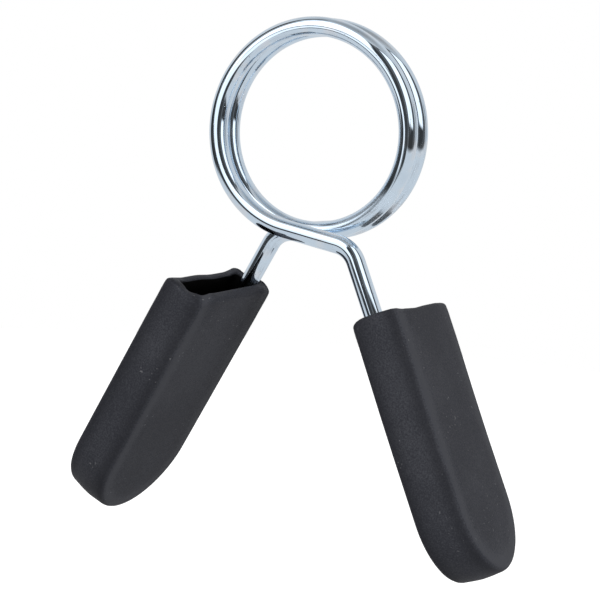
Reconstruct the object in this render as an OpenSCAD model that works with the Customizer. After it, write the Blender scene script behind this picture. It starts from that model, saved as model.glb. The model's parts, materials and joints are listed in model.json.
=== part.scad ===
// Spring collar for a bar: a coil of spring wire whose two arms cross below it and end in rubber grips.
// Millimetres. The coil's axis is Y, the viewer stands at -Y, and the handles hang down along -Z.
// The origin is the middle of the coil's bore.

/* [Coil] */
// Diameter of the spring wire
wire_d = 5; // [3:0.1:6]
// Bore of the relaxed coil, a little under the bar that it grips
bore_d = 49; // [40:0.5:60]
// Distance between neighbouring turns, centre to centre
coil_pitch = 6.7; // [6.5:0.1:10]
// Number of full turns
coil_turns = 2; // [1:1:4]
// Depth of the land that the bore leaves on the inside of the wire
land_depth = 0.2; // [0.15:0.05:0.4]

/* [Arms] */
// Angle before the bottom of the coil at which the wire runs off straight
runoff_angle = 8.5; // [4:0.5:14]
// Centre-line radius of the bend above each grip
bend_r = 7.5; // [5:0.5:10]
// Straight run of the front wire, from the coil to its bend
front_run = 15.9; // [12:0.1:22]
// Straight run of the rear wire, from the coil to its bend
rear_run = 13.6; // [12:0.1:22]
// Angle of the front handle from the vertical
front_lean_angle = 26.2; // [22:0.1:34]
// Angle of the rear handle from the vertical
rear_lean_angle = 28.5; // [22:0.1:34]
// Bare wire between the front bend and the mouth of its grip
front_leg = 14.8; // [8:0.1:24]
// Bare wire between the rear bend and the mouth of its grip
rear_leg = 13.1; // [8:0.1:24]
// Turn of the front grip about its leg
front_turn_angle = 0; // [-6:0.1:6]
// Turn of the rear grip about its leg
rear_turn_angle = 3.7; // [-6:0.1:6]
// Length of the hairpin's short leg, which ends inside the grip
hairpin_return = 30; // [10:1:40]

/* [Grips] */
// Length of a grip, from its mouth to its round end
grip_len = 71.5; // [60:0.5:100]
// Width of a grip, along the bar
grip_w = 36; // [28:0.5:44]
// Thickness of a grip
grip_t = 14; // [12:0.5:18]
// How far the middle of a grip lies outside its wire
grip_offset = 1.3; // [0:0.1:2]
// Rounding of a grip's long edges
grip_edge_r = 2.2; // [1:0.1:3]
// Wall of a grip at its narrow sides and round its end
grip_wall = 2.2; // [1.5:0.1:4]
// Thickness of the open pocket at a grip's mouth, from the inner side of the wire outwards
mouth_t = 7; // [6.5:0.1:8]
// Rounding of the outer rim of a grip's mouth
mouth_edge_r = 1.5; // [0.5:0.1:1.8]
// Depth of the open pocket at a grip's mouth
mouth_depth = 9; // [4:0.5:20]
// Clearance between the hairpin and the slot that it sits in
hairpin_clear = 0.15; // [0.05:0.05:0.3]

/* [Hidden] */
$fn = 48;
wire_colour = "silver";
grip_colour = [0.16, 0.16, 0.17];
// How far a cutting solid stands proud of the face that it cuts
overcut = 1;
// Lengths of wire stop this far short of their joint, and a ball this much proud of the wire fills it
joint_gap = 0.1;
joint_proud = 0.05;

// Radius of the coil's centre line, with the land cut back to the bore
coil_r = bore_d / 2 - land_depth + wire_d / 2;
// Each half turn is a flat arc in a tilted plane, and moves half a pitch along the bar
half_pitch = coil_pitch / 2;
half_turns = 2 * coil_turns;
arc_r = sqrt(pow(2 * coil_r, 2) + pow(half_pitch, 2)) / 2;
arc_tilt = atan(half_pitch / (2 * coil_r));
// Place along the bar of the middle of the rearmost half turn
rear_arc_y = (half_turns - 1) * half_pitch / 2;

// The hairpin bends round the centre of the grip's round end
grip_end_r = grip_w / 2;
end_centre_x = grip_len - grip_end_r;
slot_r = grip_end_r - grip_wall;
slot_t = wire_d + 2 * hairpin_clear;
hairpin_r = slot_r - hairpin_clear - wire_d / 2;

// Half turns with an even number pass the right side going up, the others the left side going down
function arc_start(half) = half % 2 == 0 ? -90 : 90;
function plane_tilt(half) = half % 2 == 0 ? arc_tilt : -arc_tilt;

// A point on the coil's centre line, from the angle wound since the rear end
function coil_point(wound) =
    let (half = min(floor(wound / 180), half_turns - 1))
    let (a = arc_start(half) + wound - 180 * half)
    [
        arc_r * cos(a),
        rear_arc_y - half * half_pitch - arc_r * sin(a) * sin(plane_tilt(half)),
        arc_r * sin(a) * cos(arc_tilt)
    ];

// Least gap between the coil's turns, measured on points along it
points_per_turn = 48;
coil_points = [
    for (i = [0 : points_per_turn * coil_turns])
        coil_point(360 * i / points_per_turn)
];
least_gap = min([
    for (i = [0 : len(coil_points) - 1])
        for (j = [i + ceil(points_per_turn / 2) : len(coil_points) - 1])
            norm(coil_points[i] - coil_points[j])
]) - wire_d;
echo(least_gap_between_turns = least_gap);

// The wire's round section, swept along an arc in the XY plane
module wire_arc(radius, from_angle, to_angle) {
    trim = joint_gap / radius * 180 / PI;
    rotate([0, 0, from_angle + trim])
        rotate_extrude(angle = to_angle - from_angle - 2 * trim)
            translate([radius, 0])
                circle(d = wire_d);
}

// A straight length of wire along +X
module wire_rod(length) {
    translate([joint_gap, 0, 0])
        rotate([0, 90, 0])
            cylinder(d = wire_d, h = length - 2 * joint_gap);
}

// The ball that makes two lengths of wire one piece, with its poles inside a wire along X
module wire_joint() {
    rotate([0, 90, 0])
        sphere(d = wire_d + 2 * joint_proud);
}

// The space that the bar takes
module bar_space() {
    rotate([90, 0, 0])
        cylinder(d = bore_d, h = coil_turns * coil_pitch + 2 * wire_d, center = true);
}

// The plane of a half turn: X to the right, Y up, Z towards the front
module half_turn_plane(half) {
    translate([0, rear_arc_y - half * half_pitch, 0])
        rotate([90 + plane_tilt(half), 0, 0])
            children();
}

// One half turn of the coil; the first and the last stop short, where the arms begin
module half_turn(half) {
    first_cut = half == 0 ? runoff_angle : 0;
    last_cut = half == half_turns - 1 ? runoff_angle : 0;
    half_turn_plane(half) {
        wire_arc(arc_r, arc_start(half) + first_cut, arc_start(half) + 180 - last_cut);
        if (half > 0)
            translate([0, arc_r * sin(arc_start(half)), 0])
                wire_joint();
    }
}

// The frame of the front arm's straight run: X along the run, Z towards the front
module run_frame() {
    half_turn_plane(half_turns - 1)
        rotate([0, 0, -runoff_angle])
            translate([0, -arc_r, 0])
                children();
}

// The frame after the bend, which turns the wire down: X along the leg, Y away from the other handle
module leg_frame(run, lean) {
    run_frame()
        translate([run, -bend_r, 0])
            rotate([0, 0, lean + runoff_angle - 90])
                translate([0, bend_r, 0])
                    children();
}

// The frame of a grip: its origin is where the wire enters the mouth, X points into the grip
module grip_frame(run, lean, leg, turn) {
    leg_frame(run, lean)
        translate([leg, 0, 0])
            rotate([turn, 0, 0])
                children();
}

// The end of the wire inside a grip: round the end and back up the other side
module hairpin() {
    translate([end_centre_x, 0, -hairpin_r]) {
        rotate([90, 0, 0])
            wire_arc(hairpin_r, -90, 90);
        for (side = [-1, 1])
            translate([0, 0, side * hairpin_r])
                wire_joint();
        translate([-hairpin_return, 0, -hairpin_r])
            wire_rod(hairpin_return);
    }
}

// One arm, in the place of the front one
module arm(run, lean, leg, turn) {
    color(wire_colour)
        difference() {
            union() {
                run_frame() {
                    wire_rod(run);
                    translate([run, 0, 0])
                        wire_joint();
                    translate([run, -bend_r, 0])
                        wire_arc(bend_r, lean + runoff_angle, 90);
                }
                leg_frame(run, lean) {
                    wire_joint();
                    wire_rod(leg + end_centre_x);
                }
                grip_frame(run, lean, leg, turn)
                    hairpin();
            }
            bar_space();
        }
}

// Half of a grip's section: its outer corners are round
module half_section() {
    flat_w = grip_end_r - grip_edge_r;
    flat_t = grip_t - 2 * grip_edge_r;
    translate([0, -grip_t / 2])
        square([flat_w, grip_t]);
    translate([0, -flat_t / 2])
        square([grip_end_r, flat_t]);
    for (side = [-1, 1])
        translate([flat_w, side * flat_t / 2])
            circle(r = grip_edge_r);
}

// A prism along +X on a section, and the same section swept round its end
module round_ended(length) {
    rotate([90, 0, 90])
        linear_extrude(height = length) {
            rotate(90)
                children();
            rotate(-90)
                children();
        }
    translate([length, 0, 0])
        rotate([90, 90, 0])
            rotate_extrude(angle = 180)
                children();
}

// What the rounding takes off the four edges of a grip's mouth
module mouth_waste() {
    for (quarter = [0 : 3])
        rotate([90 * quarter, 0, 0])
            translate([0, quarter % 2 == 0 ? grip_t / 2 : grip_end_r, 0])
                linear_extrude(height = grip_w + 2 * overcut, center = true)
                    difference() {
                        translate([-overcut, -mouth_edge_r])
                            square(mouth_edge_r + overcut);
                        translate([mouth_edge_r, -mouth_edge_r])
                            circle(r = mouth_edge_r);
                    }
}

// One grip, in its own frame
module grip() {
    color(grip_colour)
        translate([0, 0, -hairpin_r])
            difference() {
                translate([0, grip_offset, 0])
                    difference() {
                        round_ended(end_centre_x)
                            half_section();
                        mouth_waste();
                    }
                round_ended(end_centre_x)
                    translate([0, -slot_t / 2])
                        square([slot_r, slot_t]);
                translate([-overcut, -slot_t / 2, -slot_r])
                    cube([mouth_depth + overcut, mouth_t, 2 * slot_r]);
            }
}

module spring_coil() {
    color(wire_colour)
        difference() {
            union() {
                for (half = [0 : half_turns - 1])
                    half_turn(half);
            }
            bar_space();
        }
}

module front_arm() {
    arm(front_run, front_lean_angle, front_leg, front_turn_angle);
}

module rear_arm() {
    rotate([0, 0, 180])
        arm(rear_run, rear_lean_angle, rear_leg, rear_turn_angle);
}

module front_grip() {
    grip_frame(front_run, front_lean_angle, front_leg, front_turn_angle)
        grip();
}

module rear_grip() {
    rotate([0, 0, 180])
        grip_frame(rear_run, rear_lean_angle, rear_leg, rear_turn_angle)
            grip();
}

spring_coil();
front_arm();
rear_arm();
front_grip();
rear_grip();
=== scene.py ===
import json
import math
from itertools import product
from typing import NamedTuple

import bpy
from bpy.props import FloatProperty, FloatVectorProperty, PointerProperty
from bpy.types import Operator, Panel, PropertyGroup
from mathutils import Matrix, Vector


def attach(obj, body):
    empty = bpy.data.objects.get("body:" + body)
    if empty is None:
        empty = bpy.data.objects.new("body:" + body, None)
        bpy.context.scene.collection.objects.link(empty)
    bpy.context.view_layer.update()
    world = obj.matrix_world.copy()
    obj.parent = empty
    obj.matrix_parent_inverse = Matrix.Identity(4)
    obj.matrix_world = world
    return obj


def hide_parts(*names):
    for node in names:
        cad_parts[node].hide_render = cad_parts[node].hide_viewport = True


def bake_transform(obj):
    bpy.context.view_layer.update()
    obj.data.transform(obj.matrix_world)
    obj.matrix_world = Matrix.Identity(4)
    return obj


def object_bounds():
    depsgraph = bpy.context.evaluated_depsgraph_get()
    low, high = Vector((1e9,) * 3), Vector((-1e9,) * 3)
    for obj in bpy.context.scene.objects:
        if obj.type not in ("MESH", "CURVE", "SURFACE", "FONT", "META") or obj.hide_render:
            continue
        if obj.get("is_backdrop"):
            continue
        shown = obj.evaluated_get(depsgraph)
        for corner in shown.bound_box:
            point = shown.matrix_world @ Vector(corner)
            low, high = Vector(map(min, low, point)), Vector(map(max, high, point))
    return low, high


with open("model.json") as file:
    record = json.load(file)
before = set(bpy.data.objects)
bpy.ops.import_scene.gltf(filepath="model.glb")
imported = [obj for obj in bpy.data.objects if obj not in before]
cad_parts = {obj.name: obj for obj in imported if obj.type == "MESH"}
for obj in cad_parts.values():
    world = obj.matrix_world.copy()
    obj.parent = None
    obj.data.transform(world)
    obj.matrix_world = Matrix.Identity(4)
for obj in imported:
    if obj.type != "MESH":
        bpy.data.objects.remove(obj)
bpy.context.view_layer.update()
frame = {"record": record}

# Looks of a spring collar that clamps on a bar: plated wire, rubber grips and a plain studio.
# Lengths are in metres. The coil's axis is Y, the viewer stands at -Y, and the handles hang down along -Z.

bl_info = {
    "name": "Spring Collar",
    "version": (1, 0, 0),
    "blender": (4, 5, 0),
    "location": "View3D > Sidebar > Spring Collar",
    "description": "Plated wire, moulded rubber grips and a plain studio for a spring collar",
    "category": "Object",
}

MM = 0.001
# Places closer than this count as one
NEAR = 0.01 * MM
# The part's one mount is the bore that takes the bar
BORE_MM = 2 * frame["record"]["mounts"][0]["dims"]["r_mm"]
# The coil's two turns are wound as half turns, counted from the rear
HALF_TURNS = 4
HALF_WAY_ROUND = Matrix.Rotation(math.pi, 4, "Z")

# Steps round the wire and along each of its lengths
WIRE_SIDES = 48
TURN_STEPS = 72
BEND_STEPS = 14
HAIRPIN_STEPS = 28
LEG_STEPS = 6

# Steps round a grip's section, its end and its rims
CORNER_STEPS = 4
WIDE_CUTS = 11
NARROW_CUTS = 9
END_STEPS = 40
RIM_STEPS = 5
# Gaps between the rings behind a grip's mouth, in millimetres
GRIP_GAPS_MM = (1, 1.5, 2, 4, 6, 9, 12)
# Rings of the pocket, as shares of its depth
POCKET_SHARES = (0.1, 0.3, 1)
# Share of the pocket's half thickness past which a point belongs to a corner
CORNER_FROM = 0.75

# Marks on a piece's points: the place on the straightened wire, the depth in a pocket, and a long edge
STRAIGHT = "straight"
POCKET = "pocket"
EDGE = "edge"
# Faces that meet at less than these angles are shaded as one smooth surface
WIRE_SMOOTH = math.radians(40)
GRIP_SMOOTH = math.radians(50)

# Levels at which metal sees the pale and the dark parts of the studio
PALE = 0.76
DARK = 0.045
TABLE_SIDES = 96
# Where the lamps point, between the coil and the grips
LAMP_AIM = Vector((0, 0, -45 * MM))
# Sockets of a Mix node that mixes colours; their names repeat, so they go by number
MIX_FACTOR, MIX_LOW, MIX_HIGH, MIX_RESULT = 0, 6, 7, 2


class Pull(NamedTuple):
    """A pull on the soft lip of a mouth, in millimetres from the middle of the mouth.

    The stretch of rim that is pulled is given across the thickness, counted outwards, and along the width,
    counted towards the wire.
    """

    across: tuple
    along: tuple
    reach: float
    inwards: float = 0
    outwards: float = 0


LIP_PULLS = {
    "front": (
        Pull(across=(4, 8), along=(5, 12), reach=9, inwards=0.5),
        Pull(across=(4, 8), along=(-19, -14), reach=14, inwards=-0.55),
        Pull(across=(-4, 4), along=(15, 19), reach=4, inwards=-0.4),
        Pull(across=(-8, -6), along=(15, 19), reach=2.5, inwards=0.3),
        Pull(across=(4, 8), along=(-19, 12), reach=35, outwards=0.5),
    ),
    "rear": (
        Pull(across=(4, 8), along=(6, 11), reach=10, inwards=0.75),
        Pull(across=(4, 8), along=(-12, 11), reach=10, inwards=1),
        Pull(across=(4, 8), along=(15.5, 19), reach=4, inwards=-0.55),
        Pull(across=(4, 8), along=(-19, -14), reach=5, inwards=-0.7),
        Pull(across=(-8, -3.6), along=(-11, 19), reach=6, inwards=-1.5),
        Pull(across=(-8, -6), along=(16, 19), reach=3, inwards=0.8),
    ),
}
# Points less than this far inside the mouth belong to the lip
LIP_DEPTH = 2 * MM


def length(name, description, millimetres):
    """A length that a user may change."""
    return FloatProperty(
        name=name, description=description, default=millimetres * MM, unit="LENGTH", subtype="DISTANCE"
    )


def angle(name, description, degrees):
    """An angle that a user may change."""
    return FloatProperty(
        name=name, description=description, default=math.radians(degrees), unit="ROTATION", subtype="ANGLE"
    )


def colour(name, description, red, green, blue):
    """A colour that a user may change."""
    return FloatVectorProperty(
        name=name, description=description, default=(red, green, blue), subtype="COLOR", min=0, max=1
    )


def light_level(name, description, share):
    """A level of light that a user may change, where 1 is white."""
    return FloatProperty(
        name=name, description=description, default=share, subtype="FACTOR", min=0, max=1
    )


class WireSizes(PropertyGroup):
    """Sizes and colours of the spring wire."""

    wire_d: length("Wire", "Diameter of the spring wire", 5)
    bore_d: length("Bore", "Bore of the relaxed coil", BORE_MM)
    land_depth: length("Land", "Depth of the land that the bore leaves on the wire", 0.2)
    coil_pitch: length("Pitch", "Distance between neighbouring turns", 6.7)
    runoff: angle("Run-off", "Angle before the bottom at which the wire runs off straight", 8.5)
    bend_r: length("Bend", "Radius of the bend above each grip", 7.5)
    front_run: length("Front run", "Straight wire from the coil to the front bend", 15.9)
    rear_run: length("Rear run", "Straight wire from the coil to the rear bend", 13.6)
    front_lean: angle("Front lean", "Angle of the front handle from the vertical", 26.2)
    rear_lean: angle("Rear lean", "Angle of the rear handle from the vertical", 28.5)
    front_leg: length("Front leg", "Bare wire between the front bend and its grip", 14.8)
    rear_leg: length("Rear leg", "Bare wire between the rear bend and its grip", 13.1)
    front_turn: angle("Front turn", "Turn of the front grip about its leg", 0)
    rear_turn: angle("Rear turn", "Turn of the rear grip about its leg", 3.7)
    hairpin_return: length("Return", "Short leg of the hairpin inside the grip", 30)
    bright: colour("Plating", "Colour of the clean plating", 0.67, 0.79, 0.91)
    dull: colour("Dull plating", "Colour of the plating where it has dulled", 0.60, 0.71, 0.83)
    tint: colour("Tint", "Colour of the plating's pale clouds", 0.78, 0.80, 0.84)
    tarnish: colour("Tarnish", "Colour of dark streaks and pits", 0.22, 0.20, 0.20)


class GripSizes(PropertyGroup):
    """Sizes and colours of the rubber grips."""

    grip_len: length("Length", "Length from the mouth to the edges of the round end", 71.9)
    rear_stretch: length("Rear stretch", "How much longer the rear grip is drawn", 1.4)
    grip_w: length("Width", "Width along the bar", 36)
    grip_t: length("Thickness", "Thickness of a grip", 14)
    grip_offset: length("Offset", "How far the middle of a grip lies outside its wire", 1.3)
    edge_r: length("Edges", "Rounding of the long edges", 1.7)
    # Width of the painted highlight and the painted shade along each long edge
    edge_w: length("Edge wear", "Width of the wear and the grime along the long edges", 1.5)
    crown: length("Crown", "How far the wide sides fall towards their edges", 0.25)
    crown_w: length("Crown width", "How far from an edge a wide side starts to fall", 5)
    end_crown: length("End crown", "How far the middle of the round end stands proud of its edges", 0.514)
    wall: length("Wall", "Wall at the side of the mouth where the wire enters", 2.2)
    free_wall: length("Free wall", "Wall at the free side of the mouth", 3.3)
    clearance: length("Clearance", "Clearance between the hairpin and its slot", 0.15)
    mouth_t: length("Mouth", "Thickness of the open pocket at the mouth", 8.7)
    mouth_depth: length("Pocket", "Depth of the open pocket that is modelled", 22)
    corner_t: length("Corner across", "Pull on the pocket's corners across its thickness", 0.24)
    corner_w: length("Corner along", "Pull on the pocket's corners along its width", 0.9)
    corner_reach: length("Corner reach", "How far the pull on a corner reaches", 4.25)
    outer_rim: length("Outer rim", "Rounding of the outer rim of the mouth", 1.2)
    inner_rim: length("Inner rim", "Rounding of the inner rim of the mouth", 0.6)
    rubber: colour("Rubber", "Colour of the clean rubber", 0.0305, 0.0318, 0.0385)
    # Its colour also paints a highlight along the wide side of each long edge
    worn_and_highlight: colour("Worn rubber", "Colour of scuffed rubber", 0.055, 0.0568, 0.0655)
    # Painted shade along the narrow side of each long edge
    edge_shade: colour("Edge_shade", "Colour of the dark margin of the narrow sides", 0.0145, 0.015, 0.0185)
    speck: colour("Specks", "Colour of the pale specks", 0.3, 0.3, 0.31)
    # Painted shade deep inside the pocket
    dark: colour("Dark", "Colour inside the pocket", 0.003, 0.003, 0.003)


class StageSizes(PropertyGroup):
    """Camera, floor and light."""

    camera_yaw: angle("Yaw", "Camera's angle to the right of the coil's axis", 26.12)
    camera_pitch: angle("Pitch", "Camera's angle above the horizon", 7.43)
    camera_roll: angle("Roll", "Camera's turn about its own axis", 4.19)
    camera_distance: length("Distance", "Camera's distance from the bore's centre", 469.25)
    camera_right: length("Right", "Camera's shift to the right", -4.54)
    camera_up: length("Up", "Camera's shift upwards", -44.99)
    lens: FloatProperty(name="Lens", description="Focal length", default=106.78, unit="CAMERA")
    table_r: length("Table", "Radius of the round table", 470)
    floor_colour: colour("Floor", "Colour of the floor", 0.54, 0.54, 0.54)
    floor_glow: light_level("Floor glow", "Glow of the floor where it is seen straight", 0.88)
    ambient: light_level("Ambient", "Level of the light from all around", 0.39)


class Shade:
    """A socket of a node tree. Arithmetic on it adds Math nodes."""

    def __init__(self, tree, socket=None):
        self.tree = tree
        self.socket = socket

    def node(self, kind, settings=None, inputs=None, out=0):
        """Adds a node, sets it up, feeds its sockets, and returns one of its outputs."""
        made = self.tree.nodes.new(kind)
        for name, value in (settings or {}).items():
            setattr(made, name, value)
        for name, value in (inputs or {}).items():
            if isinstance(value, Shade):
                self.tree.links.new(value.socket, made.inputs[name])
            else:
                made.inputs[name].default_value = value
        return Shade(self.tree, made.outputs[out]) if made.outputs else None

    def math(self, operation, *values):
        """Adds a Math node on these values."""
        return self.node("ShaderNodeMath", {"operation": operation}, dict(enumerate(values)))

    def __add__(self, other):
        return self.math("ADD", self, other)

    __radd__ = __add__

    def __sub__(self, other):
        return self.math("SUBTRACT", self, other)

    def __rsub__(self, other):
        return self.math("SUBTRACT", other, self)

    def __neg__(self):
        return 0 - self

    def __mul__(self, other):
        return self.math("MULTIPLY", self, other)

    __rmul__ = __mul__

    def __truediv__(self, other):
        return self.math("DIVIDE", self, other)

    def __pow__(self, exponent):
        return self.math("POWER", self, exponent)

    def smooth(self, low, high):
        """0 below low, 1 above high, and an S curve between them."""
        return self.node(
            "ShaderNodeMapRange",
            {"interpolation_type": "SMOOTHSTEP"},
            {"Value": self, "From Min": low, "From Max": high},
        )

    def window(self, low, high, soft):
        """1 between low and high, with soft edges."""
        return self.smooth(low - soft, low + soft) * (1 - self.smooth(high - soft, high + soft))

    def from_middle(self, middle, reach):
        """0 at the middle, and 1 or -1 a reach away from it."""
        return (self - middle) / reach

    def parts(self):
        """The X, Y and Z of this vector."""
        first = self.node("ShaderNodeSeparateXYZ", {}, {"Vector": self})
        return [Shade(self.tree, part) for part in first.socket.node.outputs]

    def colours(self, low, high):
        """Mixes two colours by this value."""
        sockets = {MIX_FACTOR: self, MIX_LOW: low, MIX_HIGH: high}
        return self.node("ShaderNodeMix", {"data_type": "RGBA"}, sockets, out=MIX_RESULT)

    def noise(self, scale, detail=2, roughness=0.5, stretch=None):
        """Noise on this vector, at so many bumps a metre."""
        place = self
        if stretch:
            place = self.node("ShaderNodeMapping", {}, {"Vector": self, "Scale": stretch})
        return self.node(
            "ShaderNodeTexNoise",
            {},
            {"Vector": place, "Scale": scale, "Detail": detail, "Roughness": roughness},
        )

    def bump(self, strength, depth):
        """The normals of a surface with this relief."""
        return self.node("ShaderNodeBump", {}, {"Strength": strength, "Distance": depth, "Height": self})


def opaque(socket_colour):
    """A colour property as a socket's value."""
    return (*socket_colour, 1)


def empty_tree(owner):
    """Clears the nodes of a material or a world, and gives the start of its tree."""
    owner.use_nodes = True
    owner.node_tree.nodes.clear()
    return Shade(owner.node_tree)


def new_material(name):
    """A material without nodes, and the start of its tree."""
    material = bpy.data.materials.new(name)
    return material, empty_tree(material)


def finish_surface(start, sockets):
    """Feeds the main shader and the output."""
    surface = start.node("ShaderNodeBsdfPrincipled", {}, sockets)
    start.node("ShaderNodeOutputMaterial", {}, {"Surface": surface})


def plated_wire(wire):
    """Bright plating on drawn wire: faint lines along it, dull clouds, dark streaks and small pits."""
    material, start = new_material("plated_wire")
    along = start.node("ShaderNodeAttribute", {"attribute_name": STRAIGHT}, out="Vector")
    place = start.node("ShaderNodeTexCoord", out="Object")
    x, _, z = place.parts()
    # The wire is rubbed dull at the lower right of the coil
    rubbed = x.window(8 * MM, 26 * MM, 4 * MM) * z.window(-24.5 * MM, -14.5 * MM, 2 * MM)
    clouds = place.noise(170, detail=3).smooth(0.42, 0.7)
    tint = place.noise(210, detail=2).smooth(0.5, 0.68)
    lines = along.noise(1, detail=3, stretch=(60, 2600, 2600)).smooth(0.45, 0.75)
    streaks = along.noise(1, detail=4, roughness=0.7, stretch=(110, 1700, 1700)).smooth(0.48, 0.66)
    scuffs = streaks * (place.noise(110, detail=2).smooth(0.4, 0.62) + rubbed)
    pits = place.noise(1900, detail=1).smooth(0.72, 0.78) * place.noise(90).smooth(0.48, 0.6)
    plating = (clouds * 0.5).colours(opaque(wire.bright), opaque(wire.dull))
    tinted = (tint * 0.5).colours(plating, opaque(wire.tint))
    tarnished = (scuffs * 0.25 + pits * 0.7).colours(tinted, opaque(wire.tarnish))
    waves = along.noise(1, detail=1, stretch=(140, 500, 500))
    relief = waves * 0.6 + lines * 0.12 + scuffs * 0.08 - pits
    finish_surface(
        start,
        {
            "Base Color": tarnished,
            "Metallic": 1 - 0.12 * scuffs - 0.16 * rubbed,
            "Roughness": 0.02 + clouds * 0.02 + lines * 0.02 + scuffs * 0.12 + rubbed * 0.12 + pits * 0.3,
            "Normal": relief.bump(strength=0.1, depth=0.1 * MM),
        },
    )
    return material


def moulded_rubber(grip):
    """Matte moulded rubber: fine grain, faint clouds, a few specks, painted highlight and shade along the
    long edges, and painted shade in the pocket
    """
    material, start = new_material("moulded_rubber")
    place = start.node("ShaderNodeTexCoord", out="Object")
    pocket = start.node("ShaderNodeAttribute", {"attribute_name": POCKET}, out="Fac")
    edge = start.node("ShaderNodeAttribute", {"attribute_name": EDGE}, out="Fac")
    clouds = place.noise(55, detail=3)
    grain = place.noise(2400, detail=3, roughness=0.65)
    specks = place.noise(1300, detail=0).smooth(0.77, 0.82) * place.noise(100).smooth(0.5, 0.6)
    # Random pale tone from clouds and grain, and a painted highlight along the wide side of each long edge
    wear_and_highlight = clouds.smooth(0.3, 0.75) * 0.5 + (grain - 0.5) * 3 + edge.smooth(0, 1.1) * 0.9 + 0.15
    rubber = wear_and_highlight.colours(opaque(grip.rubber), opaque(grip.worn_and_highlight))
    # Painted shade along the narrow side of each long edge
    edge_shaded = ((-edge).smooth(0.1, 1.1) * 0.55).colours(rubber, opaque(grip.edge_shade))
    speckled = (specks * 0.28).colours(edge_shaded, opaque(grip.speck))
    relief = grain * 0.7 + place.noise(900, detail=2) * 0.5 + specks * 0.5
    finish_surface(
        start,
        {
            # Painted shade, near black, deep inside the pocket
            "Base Color": pocket.colours(speckled, opaque(grip.dark)),
            "Roughness": 0.46 + clouds * 0.12 + pocket * 0.4,
            "Specular IOR Level": 0.03,
            "Normal": relief.bump(strength=0.35, depth=0.15 * MM),
        },
    )
    return material


def pick(piece):
    """Selects one piece alone, and makes it the active one."""
    bpy.ops.object.select_all(action="DESELECT")
    piece.select_set(True)
    bpy.context.view_layer.objects.active = piece


def settle(piece, place):
    """Puts a piece in its place, and its place into its mesh."""
    pick(piece)
    piece.matrix_world = place
    bpy.ops.object.transform_apply(location=True, rotation=True, scale=True)


def own_copy(piece, name):
    """A copy of a piece with its own mesh."""
    twin = piece.copy()
    twin.data = piece.data.copy()
    twin.name = twin.data.name = name
    bpy.context.collection.objects.link(twin)
    return twin


def select_points(piece, wanted):
    """In edit mode, selects the points whose place passes the test, where an edge joins them."""
    bpy.ops.mesh.select_all(action="DESELECT")
    bpy.ops.object.mode_set(mode="OBJECT")
    for point in piece.data.vertices:
        point.select = wanted(point.co)
    bpy.ops.object.mode_set(mode="EDIT")
    bpy.ops.mesh.select_mode(type="VERT")
    bpy.ops.mesh.select_mode(type="EDGE")


def select_edges(piece, wanted):
    """In edit mode, selects only the edges whose two ends pass the test."""
    bpy.ops.mesh.select_mode(type="EDGE")
    bpy.ops.mesh.select_all(action="DESELECT")
    bpy.ops.object.mode_set(mode="OBJECT")
    points = piece.data.vertices
    for edge in piece.data.edges:
        edge.select = wanted(*(points[index].co for index in edge.vertices))
    bpy.ops.object.mode_set(mode="EDIT")


def soft_reach(reach):
    """Settings that let a move fade out over a distance."""
    return {
        "use_proportional_edit": True,
        "proportional_edit_falloff": "SMOOTH",
        "proportional_size": reach,
    }


def end_centre(grip):
    """How far inside the mouth the centre of a grip's round end lies."""
    return grip.grip_len - grip.grip_w / 2


class WireRoute:
    """The wire's way through the frame, from the middle of the coil to the end of one arm.

    Both arms are worked out in the place of the front one. The rear one is then turned half way round.
    """

    def __init__(self, wire, grip, side="front"):
        self.wire = wire
        sizes = (getattr(wire, f"{side}_{size}") for size in ("run", "lean", "leg", "turn"))
        self.run, self.lean, self.leg, self.turn = sizes
        self.to_side = HALF_WAY_ROUND if side == "rear" else Matrix.Identity(4)
        coil_r = wire.bore_d / 2 - wire.land_depth + wire.wire_d / 2
        self.half_pitch = wire.coil_pitch / 2
        self.arc_r = math.hypot(2 * coil_r, self.half_pitch) / 2
        self.arc_tilt = math.atan(self.half_pitch / (2 * coil_r))
        self.rear_arc_y = (HALF_TURNS - 1) * self.half_pitch / 2
        self.hairpin_r = grip.grip_w / 2 - grip.wall - grip.clearance - wire.wire_d / 2

    def half_turn_plane(self, half):
        """X to the right, Y up and Z towards the front, tilted with that half turn."""
        tilt = self.arc_tilt if half % 2 == 0 else -self.arc_tilt
        middle = Matrix.Translation((0, self.rear_arc_y - half * self.half_pitch, 0))
        return middle @ Matrix.Rotation(math.pi / 2 + tilt, 4, "X")

    def run_frame(self):
        """X along the arm's straight run."""
        runoff = Matrix.Rotation(-self.wire.runoff, 4, "Z")
        return self.half_turn_plane(HALF_TURNS - 1) @ runoff @ Matrix.Translation((0, -self.arc_r, 0))

    def bend_centre(self):
        """The run's frame, moved to the centre of the bend above the grip."""
        return self.run_frame() @ Matrix.Translation((self.run, -self.wire.bend_r, 0))

    def bend_angle(self):
        """How far the bend above the grip turns the wire down."""
        return math.pi / 2 - self.lean - self.wire.runoff

    def leg_frame(self):
        """X along the leg, Y away from the other handle."""
        turned = self.bend_centre() @ Matrix.Rotation(-self.bend_angle(), 4, "Z")
        return turned @ Matrix.Translation((0, self.wire.bend_r, 0))

    def grip_frame(self):
        """The origin is where the wire enters the mouth, X points into the grip."""
        mouth = self.leg_frame() @ Matrix.Translation((self.leg, 0, 0))
        return mouth @ Matrix.Rotation(self.turn, 4, "X")


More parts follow.
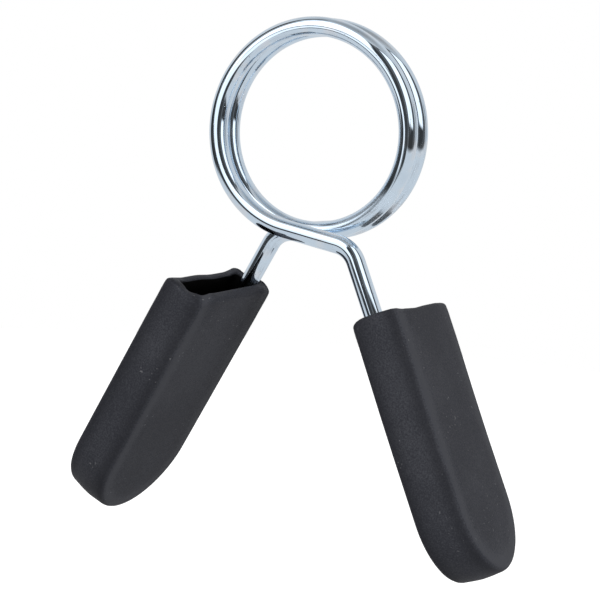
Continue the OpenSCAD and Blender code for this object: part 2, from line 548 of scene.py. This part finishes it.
class DrawnWire:
    """A wire that is drawn out of a circle, one length after the other."""

    def __init__(self, name, place, diameter, begin=0.0):
        bpy.ops.object.select_all(action="DESELECT")
        bpy.ops.mesh.primitive_circle_add(vertices=WIRE_SIDES, radius=diameter / 2)
        self.piece = bpy.context.object
        self.piece.name = self.piece.data.name = name
        self.radius = diameter / 2
        self.lengths = [begin]
        settle(self.piece, place @ Matrix.Rotation(math.pi / 2, 4, "Y"))
        bpy.ops.object.mode_set(mode="EDIT")
        bpy.ops.mesh.select_all(action="SELECT")

    def straight(self, way, steps):
        """Draws the wire on, straight along a way."""
        for _ in range(steps):
            bpy.ops.mesh.extrude_edges_move(TRANSFORM_OT_translate={"value": way / steps})
            self.lengths.append(self.lengths[-1] + way.length / steps)

    def bend(self, place, radius, turn, steps):
        """Bends round the Z axis of a place.

        Spin turns against the right-hand rule, so its axis is reversed.
        """
        axis = place.to_3x3() @ Vector((0, 0, -1))
        bpy.ops.mesh.spin(steps=steps, angle=turn, center=place.translation, axis=axis)
        for _ in range(steps):
            self.lengths.append(self.lengths[-1] + radius * turn / steps)

    def close(self):
        """Closes both ends and stores each point's place on the straightened wire."""
        bpy.ops.mesh.select_all(action="SELECT")
        bpy.ops.mesh.fill_holes(sides=0)
        bpy.ops.mesh.normals_make_consistent(inside=False)
        bpy.ops.object.mode_set(mode="OBJECT")
        bpy.ops.object.shade_smooth_by_angle(angle=WIRE_SMOOTH)
        straight = self.piece.data.attributes.new(STRAIGHT, "FLOAT_VECTOR", "POINT")
        for index, entry in enumerate(straight.data):
            ring, side = divmod(index, WIRE_SIDES)
            around = side / WIRE_SIDES * math.tau
            entry.vector = (
                self.lengths[ring],
                self.radius * math.cos(around),
                self.radius * math.sin(around),
            )
        return self.piece


class COLLAR_OT_coil(Operator):
    """Winds the coil in two halves"""

    bl_idname = "collar.coil"
    bl_label = "Coil"

    def execute(self, context):
        wire, grip = context.scene.collar_wire, context.scene.collar_grip
        route = WireRoute(wire, grip)
        third_plane = route.half_turn_plane(HALF_TURNS - 2)
        last_plane = route.half_turn_plane(HALF_TURNS - 1)
        begin = third_plane @ Matrix.Translation((0, -route.arc_r, 0))
        drawn = DrawnWire("coil_front", begin, wire.wire_d)
        drawn.bend(third_plane, route.arc_r, math.pi, TURN_STEPS)
        drawn.bend(last_plane, route.arc_r, math.pi - wire.runoff, TURN_STEPS)
        front = drawn.close()
        front.data.materials.append(plated_wire(wire))
        rear = own_copy(front, "coil_rear")
        settle(rear, HALF_WAY_ROUND)
        reach = wire.coil_pitch - wire.wire_d / 2
        for piece, body, side in ((front, "front_handle", -1), (rear, "rear_handle", 1)):
            side * reach
            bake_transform(piece)
            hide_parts("spring_coil")
        return {"FINISHED"}


class COLLAR_OT_arms(Operator):
    """Draws the two arms, from the coil to the hairpins inside the grips"""

    bl_idname = "collar.arms"
    bl_label = "Arms"

    def draw_arm(self, wire, grip, side):
        """Draws an arm in the place of the front one, and turns it to its side."""
        route = WireRoute(wire, grip, side)
        run_frame, grip_frame = route.run_frame(), route.grip_frame()
        coil_half = route.arc_r * (math.tau - wire.runoff)
        drawn = DrawnWire(f"{side}_wire", run_frame, wire.wire_d, begin=coil_half)
        drawn.straight(run_frame.to_3x3() @ Vector((route.run, 0, 0)), LEG_STEPS)
        downwards = Matrix.Rotation(math.pi, 4, "X")
        drawn.bend(route.bend_centre() @ downwards, wire.bend_r, route.bend_angle(), BEND_STEPS)
        into_grip = grip_frame.to_3x3() @ Vector((1, 0, 0))
        drawn.straight(into_grip * (route.leg + end_centre(grip)), 2 * LEG_STEPS)
        hairpin_centre = grip_frame @ Matrix.Translation((end_centre(grip), 0, -route.hairpin_r))
        hairpin_plane = hairpin_centre @ Matrix.Rotation(-math.pi / 2, 4, "X")
        drawn.bend(hairpin_plane, route.hairpin_r, math.pi, HAIRPIN_STEPS)
        drawn.straight(-into_grip * wire.hairpin_return, LEG_STEPS)
        arm = drawn.close()
        arm.data.materials.append(bpy.data.materials["plated_wire"])
        settle(arm, route.to_side)
        return arm

    def execute(self, context):
        for side in ("front", "rear"):
            piece = self.draw_arm(context.scene.collar_wire, context.scene.collar_grip, side)
            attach(piece, f"{side}_handle")
            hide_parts(f"{side}_arm")
        return {"FINISHED"}


class Ring(NamedTuple):
    """A ring of a grip's mouth: its middle, and half its size across the thickness and along the width."""

    x: float
    y: float
    z: float
    half_t: float
    half_w: float

    @property
    def middle(self):
        return Vector((self.x, self.y, self.z))

    def inset(self, x, by):
        """This ring at another depth, and smaller all round."""
        return self._replace(x=x, half_t=self.half_t - by, half_w=self.half_w - by)


class COLLAR_OT_grips(Operator):
    """Moulds the two rubber grips, with a soft lip round the mouth"""

    bl_idname = "collar.grips"
    bl_label = "Grips"

    def half_section(self, name, grip):
        """The open outline of half a grip's section, with round corners and crowned wide sides."""
        half_w, half_t = grip.grip_w / 2, grip.grip_t / 2
        bpy.ops.object.select_all(action="DESELECT")
        bpy.ops.mesh.primitive_plane_add(size=1)
        piece = bpy.context.object
        piece.name = piece.data.name = name
        upright = Matrix.Rotation(-math.pi / 2, 4, "Y")
        spread = Matrix.Diagonal((half_w, grip.grip_t, 1, 1))
        settle(piece, Matrix.Translation((grip.outer_rim, 0, half_w / 2)) @ upright @ spread)
        bpy.ops.object.mode_set(mode="EDIT")
        select_points(piece, lambda at: at.z > half_w - NEAR)
        bpy.ops.mesh.select_mode(type="VERT")
        bpy.ops.mesh.bevel(offset=grip.edge_r, segments=CORNER_STEPS, affect="VERTICES", profile=0.5)
        bpy.ops.mesh.select_all(action="SELECT")
        bpy.ops.mesh.delete(type="ONLY_FACE")
        select_edges(piece, lambda a, b: max(a.z, b.z) < NEAR)
        bpy.ops.mesh.delete(type="EDGE")
        select_edges(piece, lambda a, b: abs(a.z - b.z) > half_w / 2)
        bpy.ops.mesh.subdivide(number_cuts=WIDE_CUTS)
        select_edges(piece, lambda a, b: abs(a.y - b.y) > half_t)
        bpy.ops.mesh.subdivide(number_cuts=NARROW_CUTS)
        corner_z, corner_y = half_w - grip.edge_r - NEAR, half_t - grip.edge_r - NEAR
        select_points(piece, lambda at: at.z > corner_z and abs(at.y) > corner_y)
        bpy.ops.transform.resize(value=(1, 1 - grip.crown / half_t, 1), **soft_reach(grip.crown_w))
        return piece

    def skin(self, piece, grip):
        """Draws the half section down one side, round the end and up the other side, and crowns the end."""
        centre = Vector((end_centre(grip), 0, 0))
        gaps = [gap * MM for gap in GRIP_GAPS_MM]
        gaps.append(centre.x - grip.outer_rim - sum(gaps))
        bpy.ops.mesh.select_all(action="SELECT")
        for gap in gaps:
            bpy.ops.mesh.extrude_edges_move(TRANSFORM_OT_translate={"value": (gap, 0, 0)})
        bpy.ops.mesh.spin(steps=END_STEPS, angle=math.pi, center=centre, axis=(0, -1, 0))
        for gap in reversed(gaps):
            bpy.ops.mesh.extrude_edges_move(TRANSFORM_OT_translate={"value": (-gap, 0, 0)})
        bpy.ops.mesh.select_all(action="SELECT")
        bpy.ops.mesh.remove_doubles(threshold=NEAR)
        bpy.ops.mesh.normals_make_consistent(inside=False)
        select_points(piece, lambda at: at.x > centre.x + NEAR and abs(at.y) < NEAR)
        swell = 1 + grip.end_crown / (grip.grip_w / 2)
        bpy.ops.transform.resize(
            value=(swell, 1, swell), center_override=centre, **soft_reach(grip.grip_t / 2)
        )

    def mouth_rings(self, grip, pocket):
        """The rings of the mouth: over its outer and inner rims, and down to the pocket's floor."""
        quarters = [step / RIM_STEPS * math.pi / 2 for step in range(RIM_STEPS + 1)]
        skin = Ring(grip.outer_rim, 0, 0, grip.grip_t / 2, grip.grip_w / 2)
        rings = []
        for quarter in quarters:
            rise, inset = 1 - math.sin(quarter), 1 - math.cos(quarter)
            rings.append(skin.inset(grip.outer_rim * rise, by=grip.outer_rim * inset))
        for quarter in quarters:
            depth, spare = 1 - math.cos(quarter), 1 - math.sin(quarter)
            rings.append(pocket.inset(grip.inner_rim * depth, by=-grip.inner_rim * spare))
        for share in POCKET_SHARES:
            rings.append(pocket._replace(x=share * pocket.x))
        return rings

    def mouth(self, piece, grip, pocket):
        """Draws the open end on, ring by ring, and closes the pocket's floor."""
        select_edges(piece, lambda a, b: max(a.x, b.x) < grip.outer_rim + NEAR)
        rings = self.mouth_rings(grip, pocket)
        for before, ring in zip(rings, rings[1:]):
            move = ring.middle - before.middle
            spread = (1, ring.half_t / before.half_t, ring.half_w / before.half_w)
            bpy.ops.mesh.extrude_edges_move(TRANSFORM_OT_translate={"value": move})
            bpy.ops.transform.resize(value=spread, center_override=ring.middle)
        bpy.ops.mesh.edge_face_add()
        bpy.ops.mesh.select_all(action="SELECT")
        bpy.ops.mesh.normals_make_consistent(inside=False)

    def round_corner(self, piece, grip, pocket, side, end):
        """Pulls one corner of the pocket in, all the way down, so that it is round."""
        rim = grip.inner_rim + NEAR

        def in_corner(at):
            across, along = side * (at.y - pocket.y), end * (at.z - pocket.z)
            on_side = CORNER_FROM * pocket.half_t < across < pocket.half_t + rim
            on_end = pocket.half_w - grip.edge_r < along < pocket.half_w + rim
            return at.x < pocket.x + NEAR and on_side and on_end

        select_points(piece, in_corner)
        pull = (0, -side * grip.corner_t, -end * grip.corner_w)
        bpy.ops.transform.translate(value=pull, **soft_reach(grip.corner_reach))

    def mark_pocket(self, piece, grip, pocket):
        """Stores how deep each point lies in the pocket, for painted shade: 0 on the skin, 1 below the
        inner rim.
        """
        clear_w = grip.grip_w / 2 - grip.wall
        marks = piece.data.attributes.new(POCKET, "FLOAT", "POINT")
        for point, mark in zip(piece.data.vertices, marks.data):
            at = point.co
            on_side = abs(at.y - pocket.y) < pocket.half_t + NEAR
            on_end = abs(at.z) < clear_w + NEAR
            if on_side and on_end and at.x < pocket.x + NEAR:
                mark.value = min(1, max(0, at.x / grip.inner_rim))

    def mark_edges(self, piece, grip):
        """Stores where the long edges are: up to 1 on the wide sides, down to -1 on the narrow sides."""
        marks = piece.data.attributes.new(EDGE, "FLOAT", "POINT")
        depths = piece.data.attributes[POCKET].data
        for point, depth, mark in zip(piece.data.vertices, depths, marks.data):
            at = point.co
            below_wide = grip.grip_t / 2 - abs(at.y)
            below_narrow = grip.grip_w / 2 - math.hypot(max(0, at.x - end_centre(grip)), at.z)
            past = (below_narrow - below_wide) / grip.edge_w
            # The rubber paints a highlight where this mark is above 0, and shade where it is below 0
            mark.value = 0 if depth.value > 0 else past * math.exp(1 - abs(past))

    def mould(self, name, wire, grip):
        """Moulds a grip with its mouth's middle at the origin and X into the grip."""
        slot_t = wire.wire_d + 2 * grip.clearance
        pocket = Ring(
            x=grip.mouth_depth,
            y=grip.mouth_t / 2 - slot_t / 2 - grip.grip_offset,
            z=(grip.free_wall - grip.wall) / 2,
            half_t=grip.mouth_t / 2,
            half_w=(grip.grip_w - grip.wall - grip.free_wall) / 2,
        )
        piece = self.half_section(name, grip)
        self.skin(piece, grip)
        self.mouth(piece, grip, pocket)
        for side, end in product((-1, 1), repeat=2):
            self.round_corner(piece, grip, pocket, side, end)
        bpy.ops.object.mode_set(mode="OBJECT")
        bpy.ops.object.shade_smooth_by_angle(angle=GRIP_SMOOTH)
        self.mark_pocket(piece, grip, pocket)
        self.mark_edges(piece, grip)
        piece.data.materials.append(moulded_rubber(grip))
        return piece

    def pull_lip(self, piece, pull):
        """Pulls a stretch of the rim, as on the uneven lip of a soft moulding."""

        def on_stretch(at):
            on_side = pull.across[0] < at.y / MM < pull.across[1]
            return at.x < LIP_DEPTH and on_side and pull.along[0] < at.z / MM < pull.along[1]

        select_points(piece, on_stretch)
        move = (pull.inwards * MM, pull.outwards * MM, 0)
        bpy.ops.transform.translate(value=move, **soft_reach(pull.reach * MM))

    def stretch(self, piece, grip):
        """Draws the round end of a grip out."""
        select_points(piece, lambda at: at.x > end_centre(grip) - NEAR)
        bpy.ops.transform.translate(value=(grip.rear_stretch, 0, 0), **soft_reach(grip.grip_w))

    def execute(self, context):
        wire, grip = context.scene.collar_wire, context.scene.collar_grip
        front = self.mould("front_rubber", wire, grip)
        rear = own_copy(front, "rear_rubber")
        for piece, side in ((front, "front"), (rear, "rear")):
            pick(piece)
            bpy.ops.object.mode_set(mode="EDIT")
            for pull in LIP_PULLS[side]:
                self.pull_lip(piece, pull)
            if side == "rear":
                self.stretch(piece, grip)
            bpy.ops.object.mode_set(mode="OBJECT")
            route = WireRoute(wire, grip, side)
            beside_wire = Matrix.Translation((0, grip.grip_offset, -route.hairpin_r))
            settle(piece, route.to_side @ route.grip_frame() @ beside_wire)
            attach(piece, f"{side}_handle")
            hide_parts(f"{side}_grip")
        return {"FINISHED"}


def way_out(yaw, pitch):
    """The direction from the bore's centre: to the right of the coil's axis, and above the horizon."""
    level = math.cos(pitch)
    return Vector((math.sin(yaw) * level, -math.cos(yaw) * level, math.sin(pitch)))


def rays(start, kind):
    """1 for rays of that kind, 0 for others."""
    return start.node("ShaderNodeLightPath", out=f"Is {kind} Ray")


def soft_box(aside, height):
    """A soft box with round corners, to the upper left in degrees: 1 inside it, 0 outside."""
    across, up = aside.from_middle(-46, reach=28), height.from_middle(29, reach=26)
    return 1 - (across**4 + up**4).smooth(0.6, 1.3)


def halo(aside, height):
    """A wider glow behind the soft box, which fades outwards."""
    across, up = aside.from_middle(-60, reach=38), height.from_middle(38, reach=34)
    return 1 - ((across**2 + up**2) ** 0.5).smooth(0.5, 1.1)


def white_card(across, up):
    """A white card on a dark board: how bright it is and how much of the room it covers."""
    card = across.window(-22, 42, 4) * up.window(-17, 96, 4)
    seen = DARK + 0.1 * (1 - across.smooth(-45, -20)) + 0.05 * across.smooth(30, 60) + card * 1.4
    return seen, across.window(-60, 80, 6) * up.window(-48, 104, 5)


def dark_strip(across, up):
    """A dark upright strip."""
    return 0.03, across.window(-14, 12, 5) * up.window(-50, 200, 8)


def dark_screen(across, up):
    """A dark screen in front of the camera, whose left edge leans to the right higher up."""
    leaning = across - 35 * up.smooth(60, 170)
    return 0.055, leaning.window(0, 100, 8) * up.window(-80, 200, 15)


def low_corner(across, up):
    """The low corner of a white card that hangs askew, with a dark board below it."""
    askew = (up + 0.6 * across).smooth(-52, -42)
    return DARK + 1.25 * askew, across.window(-140, 27, 4) * up.window(-55, 0, 5)


class COLLAR_OT_stage(Operator):
    """Sets the floor, the soft light and the camera"""

    bl_idname = "collar.stage"
    bl_label = "Stage"

    def camera_axes(self, stage):
        """The camera's right, up and backward directions."""
        back = way_out(stage.camera_yaw, stage.camera_pitch)
        level = Vector((math.cos(stage.camera_yaw), math.sin(stage.camera_yaw), 0))
        right = Matrix.Rotation(stage.camera_roll, 3, back) @ level
        return right, back.cross(right), back

    def add_camera(self, context, stage):
        """Adds the camera at the photo's viewing angle."""
        right, up, back = self.camera_axes(stage)
        bpy.ops.object.camera_add()
        camera = context.object
        at = back * stage.camera_distance + right * stage.camera_right + up * stage.camera_up
        camera.matrix_world = Matrix.Translation(at) @ Matrix((right, up, back)).transposed().to_4x4()
        camera.data.lens = stage.lens
        camera.data.clip_start = 10 * MM
        context.scene.camera = camera

    def add_floor(self, stage):
        """A round white table, low enough to clear the handles when they swing.

        Seen straight it is white with a faint shadow, and metal sees it as pale grey.
        """
        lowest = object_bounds()[0]
        reach = math.hypot(lowest.x, lowest.z)
        bpy.ops.mesh.primitive_circle_add(
            vertices=TABLE_SIDES, radius=stage.table_r, fill_type="NGON", location=(0, 0, -reach)
        )
        floor = bpy.context.object
        floor.name = floor.data.name = "floor"
        material, start = new_material("studio_floor")
        direct = start.math("MAXIMUM", rays(start, "Camera"), rays(start, "Transmission"))
        paint = start.node("ShaderNodeBsdfDiffuse", {}, {"Color": opaque(stage.floor_colour)})
        glow = start.node("ShaderNodeEmission", {}, {"Strength": stage.floor_glow * direct})
        straight = start.node("ShaderNodeAddShader", {}, {0: paint, 1: glow})
        mirrored = start.node("ShaderNodeEmission", {}, {"Strength": PALE})
        glossy = rays(start, "Glossy")
        surface = start.node("ShaderNodeMixShader", {}, {0: glossy, 1: straight, 2: mirrored})
        start.node("ShaderNodeOutputMaterial", {}, {"Surface": surface})
        floor.data.materials.append(material)
        floor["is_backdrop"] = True

    def add_world(self, context, stage):
        """White for the camera, an even light for the rest, and for gloss one soft box in a dim room."""
        world = bpy.data.worlds.new("studio")
        context.scene.world = world
        start = empty_tree(world)
        way = start.node("ShaderNodeTexCoord", out="Generated")
        turned = start.node(
            "ShaderNodeVectorRotate",
            {"rotation_type": "Z_AXIS"},
            {"Vector": way, "Angle": -stage.camera_yaw},
        )
        x, y, z = turned.parts()
        # Degrees above the horizon, and degrees to the right of the camera as seen from the bore
        height = start.math("ARCSINE", z) * math.degrees(1)
        aside = start.math("ARCTAN2", x, -y) * math.degrees(1)
        dim = aside.window(-98, 84, 6) * height.window(-11, 49, 4)
        corner = aside.window(96, 108, 4) * height.window(-6, 19, 4)
        room = PALE - 0.36 * height.smooth(45, 82) - 0.5 * corner
        lit = soft_box(aside, height) * 1.5 + halo(aside, height) * 0.5
        seen = room * (1 - dim) + dim * DARK + lit
        glossy, camera = rays(start, "Glossy"), rays(start, "Camera")
        level = glossy * seen + camera + (1 - glossy) * (1 - camera) * stage.ambient
        light = start.node("ShaderNodeBackground", {}, {"Color": (1, 1, 1, 1), "Strength": level})
        start.node("ShaderNodeOutputWorld", {}, {"Surface": light})

    def add_board(self, context, name, paint, aside, height, near):
        """A board that only metal sees, square to the way from the bore's centre.

        From millimetres across and up the board, its paint gives how bright it is and how much it covers.
        """
        yaw = context.scene.collar_stage.camera_yaw + math.radians(aside)
        way = way_out(yaw, math.radians(height))
        bpy.ops.mesh.primitive_plane_add(size=4 * near, location=way * near)
        board = context.object
        board.name = board.data.name = name
        board.rotation_mode = "QUATERNION"
        board.rotation_quaternion = way.to_track_quat("Z", "Y")
        board.visible_camera = board.visible_diffuse = board.visible_shadow = False
        board.visible_transmission = board.visible_volume_scatter = False
        material, start = new_material(name)
        # The board is only mirrored, and isn't used as a lamp
        material.cycles.emission_sampling = "NONE"
        across, up, _ = start.node("ShaderNodeTexCoord", out="Object").parts()
        level, cover = paint(across / MM, up / MM)
        socket = "Color" if isinstance(level, Shade) else "Strength"
        glow = start.node("ShaderNodeEmission", {}, {socket: level})
        clear = start.node("ShaderNodeBsdfTransparent")
        surface = start.node("ShaderNodeMixShader", {}, {0: cover, 1: clear, 2: glow})
        start.node("ShaderNodeOutputMaterial", {}, {"Surface": surface})
        board.data.materials.append(material)
        board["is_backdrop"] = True

    def add_lamp(self, name, at, size, watts):
        """A square soft lamp that metal doesn't see."""
        bpy.ops.object.light_add(type="AREA", location=at)
        lamp = bpy.context.object
        lamp.name = lamp.data.name = name
        lamp.rotation_mode = "QUATERNION"
        lamp.rotation_quaternion = (LAMP_AIM - Vector(at)).to_track_quat("-Z", "Y")
        lamp.data.size = size
        lamp.data.energy = watts
        lamp.visible_glossy = False

    def execute(self, context):
        stage = context.scene.collar_stage
        context.scene.view_settings.view_transform = "Standard"
        bpy.ops.object.select_all(action="DESELECT")
        self.add_floor(stage)
        self.add_world(context, stage)
        self.add_board(context, "right_board", white_card, aside=33, height=12, near=100 * MM)
        self.add_board(context, "left_board", dark_strip, aside=-100, height=10, near=100 * MM)
        self.add_board(context, "screen", dark_screen, aside=-28, height=0, near=190 * MM)
        self.add_board(context, "low_board", low_corner, aside=-45, height=10, near=120 * MM)
        self.add_lamp("left_light", at=(-0.2, -0.45, 0.32), size=0.4, watts=2.5)
        self.add_lamp("right_light", at=(0.45, -0.18, -0.04), size=0.14, watts=1.15)
        self.add_lamp("back_light", at=(0.2, 0.7, 0.5), size=0.6, watts=1)
        self.add_camera(context, stage)
        return {"FINISHED"}


class COLLAR_PT_panel(Panel):
    """Lists the steps that make the spring collar"""

    bl_idname = "COLLAR_PT_panel"
    bl_label = "Spring Collar"
    bl_space_type = "VIEW_3D"
    bl_region_type = "UI"
    bl_category = "Spring Collar"

    def draw(self, context):
        for step in STEPS:
            self.layout.operator(step.bl_idname)
        for name, group in GROUPS.items():
            box = self.layout.box()
            for size in group.__annotations__:
                box.prop(getattr(context.scene, name), size)


STEPS = (COLLAR_OT_coil, COLLAR_OT_arms, COLLAR_OT_grips, COLLAR_OT_stage)
GROUPS = {"collar_wire": WireSizes, "collar_grip": GripSizes, "collar_stage": StageSizes}
CLASSES = (*GROUPS.values(), *STEPS, COLLAR_PT_panel)


def register():
    for cls in CLASSES:
        bpy.utils.register_class(cls)
    for name, group in GROUPS.items():
        setattr(bpy.types.Scene, name, PointerProperty(type=group))


def unregister():
    for name in GROUPS:
        delattr(bpy.types.Scene, name)
    for cls in reversed(CLASSES):
        bpy.utils.unregister_class(cls)


def main():
    register()
    bpy.ops.collar.coil()
    bpy.ops.collar.arms()
    bpy.ops.collar.grips()
    bpy.ops.collar.stage()


if __name__ == "__main__":
    main()
